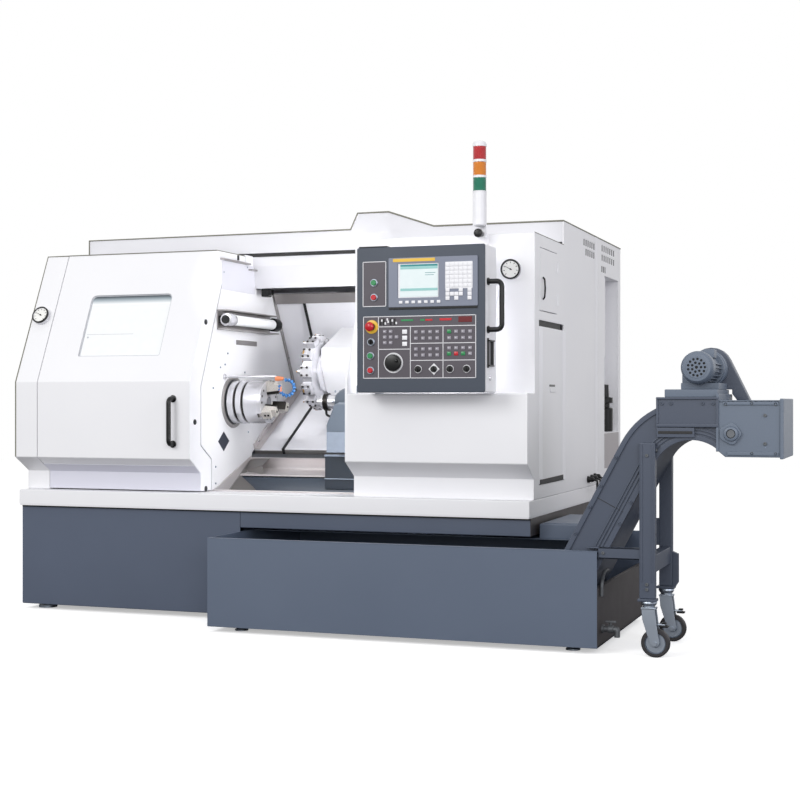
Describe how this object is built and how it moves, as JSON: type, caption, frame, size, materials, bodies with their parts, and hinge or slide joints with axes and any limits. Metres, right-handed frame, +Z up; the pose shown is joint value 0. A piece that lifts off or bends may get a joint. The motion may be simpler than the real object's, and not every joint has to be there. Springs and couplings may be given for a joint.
{
  "type": "cnc turning lathe",
  "caption": "Slant-bed turning lathe in a white enclosure with sliding door, turret, tailstock, swivelling control panel, signal tower and chip conveyor.",
  "frame": {"origin": "floor level, at the middle of the footprint of machine, tank and conveyor", "axes": "+X along the spindle towards the conveyor's head, +Y from the operator's side to the back, +Z up"},
  "size_m": [3.66, 2.322, 2.15],
  "materials": {
    "white_enamel": "satin powder coat",
    "slate_enamel": "satin powder coat",
    "polished_sheet": "polished stainless sheet",
    "machine_iron": "painted and ground casting",
    "ground_steel": "ground steel",
    "black_oxide_steel": "black oxide",
    "zinc_steel": "zinc plated",
    "chrome_plate": "polished",
    "black_plastic": "matte",
    "red_plastic": "gloss",
    "green_plastic": "gloss",
    "pale_plastic": "gloss",
    "blue_plastic": "gloss",
    "window_glass": "laminated",
    "wheel_tyre": "solid rubber"
  },
  "bodies": {
    "machine": {"base_plinth": "slate_enamel", "levelling_pads": "zinc_steel", "sill_tray": "white_enamel", "slant_bed": "machine_iron", "headstock": "machine_iron", "left_cover": "white_enamel", "chamber_walls": "white_enamel", "right_wall": "white_enamel", "rear_housing": "white_enamel", "right_cover": "white_enamel", "chip_chute": "polished_sheet", "way_covers": "polished_sheet", "work_light": "black_plastic", "gauges": "chrome_plate", "tower_bracket": "white_enamel", "coolant_tank": "slate_enamel", "conveyor_casing": "slate_enamel", "conveyor_belt": "black_oxide_steel", "conveyor_head": "slate_enamel", "conveyor_motor": "slate_enamel", "chain_guard": "slate_enamel", "conveyor_legs": "slate_enamel", "coolant_hose": "blue_plastic"},
    "front_door": {"door_panel": "white_enamel", "door_window": "window_glass", "door_handle": "chrome_plate"},
    "spindle_unit": {"spindle": "ground_steel", "chuck": "ground_steel"},
    "top_jaw": {"jaw_1": "ground_steel"},
    "front_jaw": {"jaw_2": "ground_steel"},
    "rear_jaw": {"jaw_3": "ground_steel"},
    "saddle_unit": {"saddle": "machine_iron", "saddle_cover": "polished_sheet"},
    "middle_cover": {"way_cover_middle": "polished_sheet"},
    "turret_head": {"turret_slide": "white_enamel"},
    "turret_wheel": {"turret_disc": "ground_steel", "tool_holders": "black_oxide_steel"},
    "tailstock_unit": {"tailstock": "slate_enamel"},
    "quill_unit": {"quill": "ground_steel"},
    "centre_point": {"live_centre": "ground_steel"},
    "operator_panel": {"panel_box": "slate_enamel", "control_unit": "black_plastic", "panel_handle": "black_plastic"},
    "wheel_knob": {"handwheel": "chrome_plate"},
    "stop_button": {"emergency_stop": "red_plastic"},
    "start_button": {"cycle_start": "green_plastic"},
    "hold_button": {"feed_hold": "red_plastic"},
    "selector_1": {"dial_1": "black_plastic"},
    "selector_2": {"dial_2": "black_plastic"},
    "selector_3": {"dial_3": "black_plastic"},
    "selector_4": {"dial_4": "black_plastic"},
    "signal_tower": {"tower_mast": "pale_plastic", "tower_lenses": "red_plastic"},
    "upper_hatch": {"side_door_upper": "white_enamel"},
    "lower_hatch": {"side_door_lower": "white_enamel"},
    "front_fork": {"caster_fork_1": "zinc_steel"},
    "rear_fork": {"caster_fork_2": "zinc_steel"},
    "front_wheel": {"caster_wheel_1": "wheel_tyre"},
    "rear_wheel": {"caster_wheel_2": "wheel_tyre"},
    "drive_shaft": {"conveyor_shaft": "ground_steel"}
  },
  "joints": [
    {"name": "door_slide", "type": "slide", "parent": "machine", "child": "front_door", "axis": [1, 0, 0], "range_m": [0, 0.77]},
    {"name": "spindle_spin", "type": "hinge", "parent": "machine", "child": "spindle_unit", "pos_m": [-0.83, -0.409, 1.012], "axis": [1, 0, 0], "continuous": true},
    {"name": "jaw_1_slide", "type": "slide", "parent": "spindle_unit", "child": "top_jaw", "axis": [0, 0.1736, -0.9848], "range_m": [0, 0.0037]},
    {"name": "jaw_2_slide", "type": "slide", "parent": "spindle_unit", "child": "front_jaw", "axis": [0, 0.766, 0.6428], "range_m": [0, 0.0037]},
    {"name": "jaw_3_slide", "type": "slide", "parent": "spindle_unit", "child": "rear_jaw", "axis": [0, -0.9397, 0.342], "range_m": [0, 0.0037]},
    {"name": "saddle_slide", "type": "slide", "parent": "machine", "child": "saddle_unit", "axis": [1, 0, 0], "range_m": [-0.015, 0.35]},
    {"name": "middle_cover_slide", "type": "slide", "parent": "machine", "child": "middle_cover", "axis": [1, 0, 0], "range_m": [-0.0075, 0.175]},
    {"name": "cross_slide", "type": "slide", "parent": "saddle_unit", "child": "turret_head", "axis": [0, 0.866, 0.5], "range_m": [-0.105, 0.06]},
    {"name": "turret_index", "type": "hinge", "parent": "turret_head", "child": "turret_wheel", "pos_m": [-0.526, -0.14919, 1.162], "axis": [1, 0, 0], "continuous": true},
    {"name": "tailstock_slide", "type": "slide", "parent": "machine", "child": "tailstock_unit", "axis": [1, 0, 0], "range_m": [-0.06, 0.25]},
    {"name": "quill_slide", "type": "slide", "parent": "tailstock_unit", "child": "quill_unit", "axis": [-1, 0, 0], "range_m": [0, 0.06]},
    {"name": "centre_spin", "type": "hinge", "parent": "quill_unit", "child": "centre_point", "pos_m": [-0.43, -0.409, 1.012], "axis": [1, 0, 0], "continuous": true},
    {"name": "panel_swivel", "type": "hinge", "parent": "machine", "child": "operator_panel", "pos_m": [0.055, -0.829, 1.3], "axis": [0, 0, -1], "range_deg": [0, 60]},
    {"name": "handwheel_turn", "type": "hinge", "parent": "operator_panel", "child": "wheel_knob", "pos_m": [0.191, -1.016, 1.18], "axis": [0, -1, 0], "continuous": true},
    {"name": "stop_push", "type": "slide", "parent": "operator_panel", "child": "stop_button", "axis": [0, 1, 0], "range_m": [0, 0.006], "stiffness_N_per_m": 900, "springref_m": -0.002},
    {"name": "start_push", "type": "slide", "parent": "operator_panel", "child": "start_button", "axis": [0, 1, 0], "range_m": [0, 0.004], "stiffness_N_per_m": 500, "springref_m": -0.002},
    {"name": "hold_push", "type": "slide", "parent": "operator_panel", "child": "hold_button", "axis": [0, 1, 0], "range_m": [0, 0.004], "stiffness_N_per_m": 500, "springref_m": -0.002},
    {"name": "selector_1_turn", "type": "hinge", "parent": "operator_panel", "child": "selector_1", "pos_m": [0.303, -1.016, 1.152], "axis": [0, -1, 0], "range_deg": [-60, 60]},
    {"name": "selector_2_turn", "type": "hinge", "parent": "operator_panel", "child": "selector_2", "pos_m": [0.375, -1.016, 1.152], "axis": [0, -1, 0], "range_deg": [-60, 60]},
    {"name": "selector_3_turn", "type": "hinge", "parent": "operator_panel", "child": "selector_3", "pos_m": [0.446, -1.016, 1.152], "axis": [0, -1, 0], "range_deg": [-60, 60]},
    {"name": "selector_4_turn", "type": "hinge", "parent": "operator_panel", "child": "selector_4", "pos_m": [0.52, -1.016, 1.152], "axis": [0, -1, 0], "range_deg": [-60, 60]},
    {"name": "tower_fold", "type": "hinge", "parent": "machine", "child": "signal_tower", "pos_m": [0.51, -0.749, 1.748], "axis": [0, 1, 0], "range_deg": [0, 90]},
    {"name": "upper_hatch_swing", "type": "hinge", "parent": "machine", "child": "upper_hatch", "pos_m": [0.748, -0.324, 1.556], "axis": [0, 0, 1], "range_deg": [0, 110]},
    {"name": "lower_hatch_swing", "type": "hinge", "parent": "machine", "child": "lower_hatch", "pos_m": [0.748, -0.188, 0.998], "axis": [0, 0, 1], "range_deg": [0, 110]},
    {"name": "front_caster_swivel", "type": "hinge", "parent": "machine", "child": "front_fork", "pos_m": [1.31, -1.127, 0.15], "axis": [0, 0, 1], "continuous": true},
    {"name": "front_wheel_spin", "type": "hinge", "parent": "front_fork", "child": "front_wheel", "pos_m": [1.337, -1.127, 0.057], "axis": [0, 1, 0], "continuous": true},
    {"name": "rear_caster_swivel", "type": "hinge", "parent": "machine", "child": "rear_fork", "pos_m": [1.31, -0.711, 0.15], "axis": [0, 0, 1], "continuous": true},
    {"name": "rear_wheel_spin", "type": "hinge", "parent": "rear_fork", "child": "rear_wheel", "pos_m": [1.337, -0.711, 0.057], "axis": [0, 1, 0], "continuous": true},
    {"name": "shaft_spin", "type": "hinge", "parent": "machine", "child": "drive_shaft", "pos_m": [1.632, -0.899, 0.888], "axis": [0, 1, 0], "continuous": true}
  ],
  "couplings": [
    {"joint": "jaw_2_slide", "follows": "jaw_1_slide", "ratio": 1},
    {"joint": "jaw_3_slide", "follows": "jaw_1_slide", "ratio": 1},
    {"joint": "middle_cover_slide", "follows": "saddle_slide", "ratio": 0.5}
  ]
}
